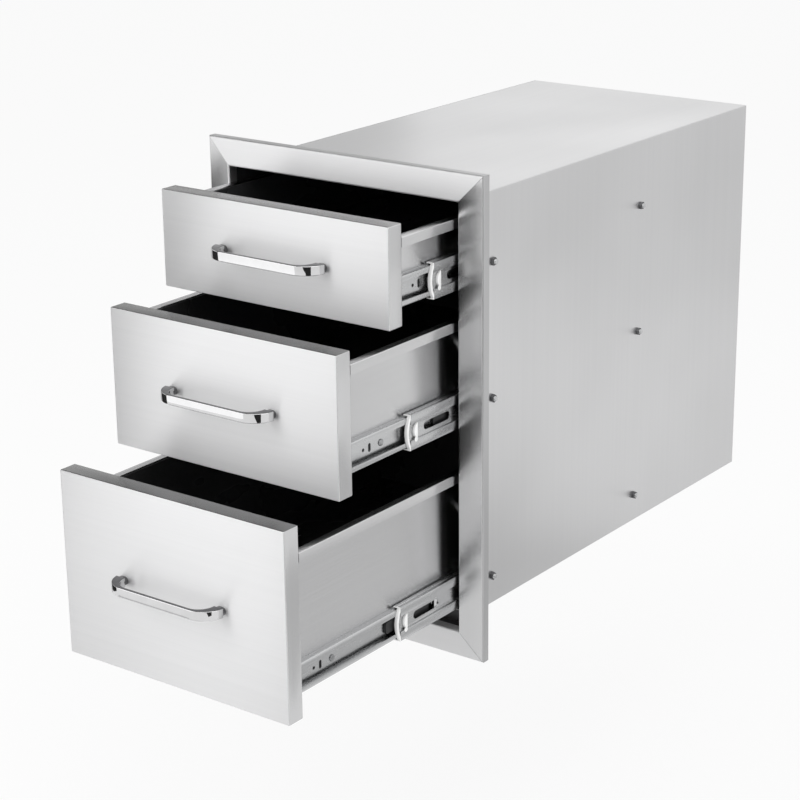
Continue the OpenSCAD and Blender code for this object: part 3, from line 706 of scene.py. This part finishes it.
drawer_steel = brushed_steel("drawer_steel", (0.61, 0.61, 0.615), 0.24, "Y", (0.5, 0, 1), stretch=0.9)
for row in ROWS:
    low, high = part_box(row + "_drawer_sides")
    web_x = high.x - rim_w
    side = folded_sheet(
        row + "_drawer_sides",
        [(web_x, low.z), (web_x, high.z), (high.x, high.z), (high.x, high.z - rim_drop)],
        low.y, high.y, side_bend, SHEET)
    cut_out(side, front_holes(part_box(row + "_drawer_front")[1].y, slide_z[row]))
    sides = mirrored(side)
    sides.data.materials.append(drawer_steel)
    finish(sides, row + "_drawer", [row + "_drawer_sides"])

# Drawer floors and backs
# The floor is a pan between the sides with its edges folded down, spot-welded to them.
# The back stands behind it and has its own lip along the rim.
floor_bend = 1.4 * MM
for row in ROWS:
    low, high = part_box(row + "_drawer_floor")
    pan = folded_sheet(
        row + "_drawer_floor", [(low.x, low.z), (low.x, high.z), (high.x, high.z), (high.x, low.z)],
        low.y, high.y, floor_bend, SHEET)
    pan.data.materials.append(drawer_steel)
    finish(pan, row + "_drawer", [row + "_drawer_floor"])
    rounded_part(row + "_drawer_back", row + "_drawer", plate_round, inner_steel)

# Liners
# A thin black tub stands in each drawer, glossy enough to show faint streaks of light at its corners.
# It is a plain moulding with rounded corners, held by the drawer's sides.
liner_t, liner_round, access_r = 1.2 * MM, 2.5 * MM, 6 * MM
liner_black = black_paint("liner_black", (0.030, 0.030, 0.031), 0.26)
for row in ROWS:
    low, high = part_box(row + "_drawer_liner")
    tub = block(row + "_drawer_liner", low, high)
    pick(tub, "FACE", lambda face: looks(face, "+Z"))
    bpy.ops.mesh.delete(type="FACE")
    round_edges(tub, liner_round, 4, lambda edge: len(edge.link_faces) == 2)
    with_modifier(tub, "SOLIDIFY", thickness=liner_t, offset=-1, use_even_offset=True)
    handle_low, handle_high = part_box(row + "_drawer_handle")
    screw_z = (handle_low.z + handle_high.z) / 2
    cut_out(tub, [
        rod("access", (side * half_pitch, low.y - OVER, screw_z), access_r, 4 * OVER, "Y")
        for side in (-1, 1)])
    tub.data.materials.append(liner_black)
    finish(tub, row + "_drawer", [row + "_drawer_liner"])

# Drawer slide members
# The inner channels of the slides, riveted to the drawers' sides with their hollow outward.
# Near the front each has a pilot hole and a slot, and the drawer's side is open behind them.
inner_reach, inner_half_h, inner_lip, inner_bend = 7 * MM, 14.8 * MM, 5 * MM, 1.4 * MM
web_half_h, web_round = 16.5 * MM, 0.4 * MM
top_slide_low, top_slide_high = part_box("top_drawer_slide_members")
front_back_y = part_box("top_drawer_front")[1].y
mid_z = slide_z["top"]
inner_rail = [(inner_reach, inner_half_h - inner_lip), (inner_reach, inner_half_h),
              (slide_w - member_t / 2, inner_half_h)]
web = block("web", (member_x, top_slide_low.y, mid_z - web_half_h),
            (member_x + member_t, top_slide_high.y, mid_z + web_half_h))
round_edges(web, web_round, 2, lambda edge: runs_along(edge, "Y"))
cut_out(web, front_holes(front_back_y, mid_z))
strips = [web]
for section in (inner_rail, below(inner_rail)):
    strips.append(folded_sheet(
        "strip", in_slide(section, mid_z), top_slide_low.y, top_slide_high.y, inner_bend, member_t))
inner_member = mirrored(join(strips))
inner_member.data.materials.append(slide_zinc)
for_each_row(inner_member, "_drawer_slide_members", "_drawer")

# Slide rivets
# Domed steel rivets, three to a slide, hold the inner channels to the drawers' sides.
# Their heads stand in the channel's hollow.
rivet_ys = (55 * MM, 254.5 * MM, 454 * MM)
rivet_r, rivet_head_r, rivet_head_t, rivet_dome = 2 * MM, 3.6 * MM, 1.2 * MM, 0.8 * MM
rivet_top_x = member_x + member_t + rivet_head_t
rivets = []
for y in rivet_ys:
    rivet = rod("rivet", (member_x - SHEET, front_back_y + y, mid_z), rivet_r, SHEET + member_t, sides=20)
    head = rod("head", (member_x + member_t, front_back_y + y, mid_z), rivet_head_r, rivet_head_t, sides=28)
    round_edges(head, rivet_dome, 4, lambda edge: all(near(v.co.x, rivet_top_x) for v in edge.verts))
    rivets += [rivet, head]
rivets = mirrored(join(rivets))
rivets.data.materials.append(fastener_zinc)
for_each_row(rivets, "_drawer_slide_rivets", "_drawer")

# Release levers
# Black moulded levers lie in the inner channels. Pressed, they let a drawer off its slides.
# A hollow rivet behind each lever holds it.
lever_foot, lever_round, lever_rim = 11.5 * MM, 3 * MM, 0.5 * MM
pin_r, pin_l, pin_round = 3.6 * MM, 2.2 * MM, 0.8 * MM
pin_gap, pin_floor, pin_hollow_r = 9 * MM, 1 * MM, 1.4 * MM


def moulded_plastic(name, colour, roughness):
    """Moulded plastic with a fine even grain."""
    material, tree, shader = new_material(name)
    grain = add_noise(tree, (2500, 2500, 2500), detail=2)
    flow = add_noise(tree, (90, 40, 90), detail=2)
    tree.links.new(tint(tree, colour, span(tree, flow, 0.94, 1.05)), shader.inputs["Base Color"])
    tree.links.new(span(tree, grain, roughness - 0.05, roughness + 0.08), shader.inputs["Roughness"])
    add_bump(tree, shader, grain, 0.02 * MM)
    return material


black_plastic = moulded_plastic("black_plastic", (0.015, 0.015, 0.016), 0.42)
lever_low, lever_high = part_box("top_drawer_release_levers")
lever = block("lever", (box_in - lever_foot, lever_low.y, lever_low.z), lever_high)
round_edges(lever, lever_round, 5, lambda edge: runs_along(edge, "X"))
soften(lever, lever_rim, 2, 50)
lever.data.materials.append(black_plastic)
pin_x, pin_y = member_x + member_t, lever_high.y + pin_gap
pin = rod("pin", (pin_x, pin_y, mid_z), pin_r, pin_l, sides=28)
round_edges(pin, pin_round, 3, lambda edge: all(near(v.co.x, pin_x + pin_l) for v in edge.verts))
cut_out(pin, [rod("hollow", (pin_x + pin_floor, pin_y, mid_z), pin_hollow_r, 3 * OVER, sides=20)])
pin.data.materials.append(slide_zinc)
for_each_row(mirrored(join([lever, pin])), "_drawer_release_levers", "_drawer")

# Intermediate slide members
# The middle channels of the slides run on balls above and below: two bands with a ball race rolled into
# their edges, and a recessed web with a long slot near the front.
band_u, web_u, lip_u = 3 * MM, 5.1 * MM, 11.2 * MM
mid_half_h, mid_lip, recess_half_h = 18.6 * MM, 3 * MM, 8.5 * MM
race_start, race_end, race_slope, race_depth = 4.3 * MM, 8.3 * MM, 0.7 * MM, 0.9 * MM
mid_t, mid_bend = 1.1 * MM, 0.35 * MM
long_slot_u, long_slot_start, long_slot_l, long_slot_h = 6.8 * MM, 24.5 * MM, 44 * MM, 9 * MM
mid_low, mid_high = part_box("top_intermediate_members")
mid_section = [
    (lip_u, mid_half_h - mid_lip), (lip_u, mid_half_h), (race_end, mid_half_h),
    (race_end - race_slope, mid_half_h - race_depth), (race_start + race_slope, mid_half_h - race_depth),
    (race_start, mid_half_h), (band_u, mid_half_h), (band_u, recess_half_h), (web_u, recess_half_h)]
mid_section += below(mid_section)
middle_channel = folded_sheet(
    "middle_channel", in_slide(mid_section, mid_z), mid_low.y, mid_high.y, mid_bend, mid_t, steps=2)
slot_x, slot_y = box_in - long_slot_u, mid_low.y + long_slot_start
long_slot = block("long_slot", (slot_x, slot_y, mid_z - long_slot_h / 2),
                  (slot_x + 3 * OVER, slot_y + long_slot_l, mid_z + long_slot_h / 2))
round_edges(long_slot, (long_slot_h - slot_flat) / 2, 8, lambda edge: runs_along(edge, "X"))
cut_out(middle_channel, [long_slot])
middle_channel = mirrored(middle_channel)
middle_channel.data.materials.append(slide_zinc)
for_each_row(middle_channel, "_intermediate_members", "_intermediate_slide")

# Slide bumpers
# White moulded end pieces: a bowed bar over the middle channel's front end, and a crescent behind it
# that holds the channel closed. They clip into its web.
bumper_round = 0.25 * MM
white_plastic = moulded_plastic("white_plastic", (0.94, 0.94, 0.935), 0.34)
for row in ROWS:
    rounded_part(
        row + "_slide_bumpers", row + "_intermediate_slide", bumper_round, white_plastic)

# Ball cages
# Pressed strips of bright steel hold the balls apart in each race, two outside and one inside a slide.
# Each cage floats freely between two channels.
ball_steel = bright_zinc("ball_steel", (0.78, 0.78, 0.785), 0.16)
for row in ROWS:
    for part in ("_outer_ball_cages", "_inner_ball_cages"):
        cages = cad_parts[row + part]
        cages.data.materials.clear()
        cages.data.materials.append(ball_steel)

# Sill screws
# Small pan-head screws of zinc-plated steel, two at each end of the sill strip.
# They go through its riser and hold it to the box.
sill_screw_round = 0.2 * MM
rounded_part("sill_screws", "cabinet", sill_screw_round, fastener_zinc)

# Floor and room
# A plain pale floor a little below the unit, and a white room round it.
# Both look white where they are seen or mirrored, and light the unit a little less.
floor_size, floor_gap, floor_glow = 80, 0.25, 0.8
room_light = 0.82


def seen_directly(tree):
    """1 where the camera, a reflection or a glass sees the surface, and 0 where it only lights others."""
    seen = tree.nodes.new("ShaderNodeLightPath")
    total = seen.outputs["Is Camera Ray"]
    for ray in ("Is Glossy Ray", "Is Transmission Ray"):
        add = tree.nodes.new("ShaderNodeMath")
        add.operation = "ADD"
        add.use_clamp = True
        tree.links.new(total, add.inputs[0])
        tree.links.new(seen.outputs[ray], add.inputs[1])
        total = add.outputs["Value"]
    return total


put_down()
bpy.ops.mesh.primitive_plane_add(size=floor_size, location=(0, 0, cad_low.z - floor_gap))
floor = bpy.context.object
floor.name = "studio_floor"
pale_floor, tree, shader = new_material("pale_floor")
shader.inputs["Base Color"].default_value = (0.92, 0.92, 0.92, 1)
shader.inputs["Roughness"].default_value = 0.9
shader.inputs["Specular IOR Level"].default_value = 0.0
glow = tree.nodes.new("ShaderNodeEmission")
blend = tree.nodes.new("ShaderNodeMixShader")
share = tree.nodes.new("ShaderNodeMath")
share.operation = "MULTIPLY"
share.inputs[1].default_value = floor_glow
tree.links.new(seen_directly(tree), share.inputs[0])
tree.links.new(share.outputs["Value"], blend.inputs["Fac"])
tree.links.new(shader.outputs["BSDF"], blend.inputs[1])
tree.links.new(glow.outputs["Emission"], blend.inputs[2])
tree.links.new(blend.outputs["Shader"], tree.nodes["Material Output"].inputs["Surface"])
floor.data.materials.append(pale_floor)

world = bpy.data.worlds.new("white_room")
bpy.context.scene.world = world
world.use_nodes = True
tree = world.node_tree
background = tree.nodes["Background"]
background.inputs["Color"].default_value = (1, 1, 1, 1)
level = tree.nodes.new("ShaderNodeMapRange")
level.inputs["To Min"].default_value = room_light
level.inputs["To Max"].default_value = 1.0
tree.links.new(seen_directly(tree), level.inputs["Value"])
tree.links.new(level.outputs["Result"], background.inputs["Strength"])

# Lamps
# Five large soft lamps: above, on the right, behind, and two on the left of the camera.
# The two on the left give the fronts their brightness, which falls off to the right.
middle_of_unit = (0, 0.1, 0.2)


def aimed(place, aim, front):
    """The turn that points a thing's front at its aim."""
    return (Vector(aim) - Vector(place)).to_track_quat(front, "Y").to_euler()


def soft_lamp(name, place, aim, size, power):
    """A square lamp that faces its aim, of a width in metres and a power in watts."""
    data = bpy.data.lights.new(name, "AREA")
    data.shape = "SQUARE"
    data.size = size
    data.energy = power
    lamp = bpy.data.objects.new(name, data)
    bpy.context.scene.collection.objects.link(lamp)
    lamp.location = place
    lamp.rotation_euler = aimed(place, aim, "-Z")


soft_lamp("lamp_above", (0.7, -0.9, 2.6), middle_of_unit, size=1.8, power=10)
soft_lamp("lamp_right", (2.4, -0.4, 1.6), middle_of_unit, size=1.6, power=8)
soft_lamp("lamp_behind", (0.8, 2.0, 1.7), middle_of_unit, size=1.2, power=1.5)
soft_lamp("lamp_low_left", (-0.95, -1.35, 0.05), (0, -0.15, 0.25), size=1.2, power=1.8)
soft_lamp("lamp_high_left", (-1.15, -1.75, 1.4), (0, -0.15, 0.3), size=1.5, power=13)

# Cards
# Black and grey cards stand round the unit, as in a studio. Only its polished and brushed faces show them,
# as the dark ends of the handles, the soft bands on the rails, and the grey lower edges of the fronts.
card_black, tree, shader = new_material("card_black")
shader.inputs["Base Color"].default_value = (0.02, 0.02, 0.02, 1)
shader.inputs["Roughness"].default_value = 1.0


def card(name, place, aim, width, height, material):
    """A card that faces its aim, and is seen only in reflections."""
    put_down()
    bpy.ops.mesh.primitive_plane_add(size=1, location=place)
    sheet = bpy.context.object
    sheet.scale = (width, height, 1)
    sheet.rotation_euler = aimed(place, aim, "Z")
    sheet.name = name
    sheet.data.materials.append(material)
    sheet.visible_camera = False
    sheet.visible_diffuse = False
    sheet.visible_shadow = False
    sheet.visible_transmission = False
    return sheet


def grey_card(name, place, aim, width, height, brightness):
    """A card of one even grey, however it is lit."""
    grey, _, shader = new_material(name)
    shader.inputs["Base Color"].default_value = (0, 0, 0, 1)
    shader.inputs["Specular IOR Level"].default_value = 0.0
    shader.inputs["Emission Color"].default_value = (1, 1, 1, 1)
    shader.inputs["Emission Strength"].default_value = brightness
    card(name, place, aim, width, height, grey)


card("card_above", (-2.4, -0.4, 2.9), (-2.4, -0.4, 0), 3.6, 4.6, card_black)
card("card_left", (-1.5, -1.95, 1.35), (0, -0.15, 0.3), 2.2, 1.3, card_black)
card("card_side", (-0.9, -0.22, 0.0), (0, -0.22, 0.0), 1.05, 0.56, card_black)
front_card = card("card_front", (0.58, -0.93, 0.12), (0, -0.1, 0.12), 0.8, 0.8, card_black)
drawn_in_corner = -0.2
for v in front_card.data.vertices:
    if v.co.x > 0 and v.co.y < 0:
        v.co.x = drawn_in_corner
grey_card("card_right", (1.55, 2.2, 0.15), (0.15, 0.3, 0.15), 3.0, 0.86, brightness=0.85)
grey_card("card_low_right", (0.73, 0.34, -0.2), (0.73, 0.34, 1), 0.74, 0.72, brightness=0.65)
grey_card("card_low_left", (-0.2, -0.5, -0.2), (-0.2, -0.5, 1), 0.64, 0.4, brightness=0.7)
grey_card("card_back_left", (-0.95, 0.85, 0.85), (-0.15, 0.1, 0.45), 0.7, 0.8, brightness=0.6)

# Camera
# The photograph's own view: a long lens from the right, a little above the unit.
# The focal length is in pixels of an 800-pixel frame.
yaw, pitch, roll = radians(-36.86), radians(-18.57), radians(-0.64)
camera_at = (1358.65 * MM, -1725.0 * MM, 962.58 * MM)
sensor_w, frame_px, focal_px = 36, 800, 2182
ahead = Vector((sin(yaw) * cos(pitch), cos(yaw) * cos(pitch), sin(pitch)))
right = Vector((cos(yaw), -sin(yaw), 0))
up = right.cross(ahead)
across = cos(roll) * right + sin(roll) * up
upward = cos(roll) * up - sin(roll) * right
camera_data = bpy.data.cameras.new("camera")
camera_data.sensor_width = sensor_w
camera_data.lens = focal_px / frame_px * sensor_w
camera = bpy.data.objects.new("camera", camera_data)
bpy.context.scene.collection.objects.link(camera)
camera.matrix_world = Matrix((across, upward, -ahead)).transposed().to_4x4()
camera.location = camera_at
bpy.context.scene.camera = camera
bpy.context.scene.view_settings.view_transform = "Standard"
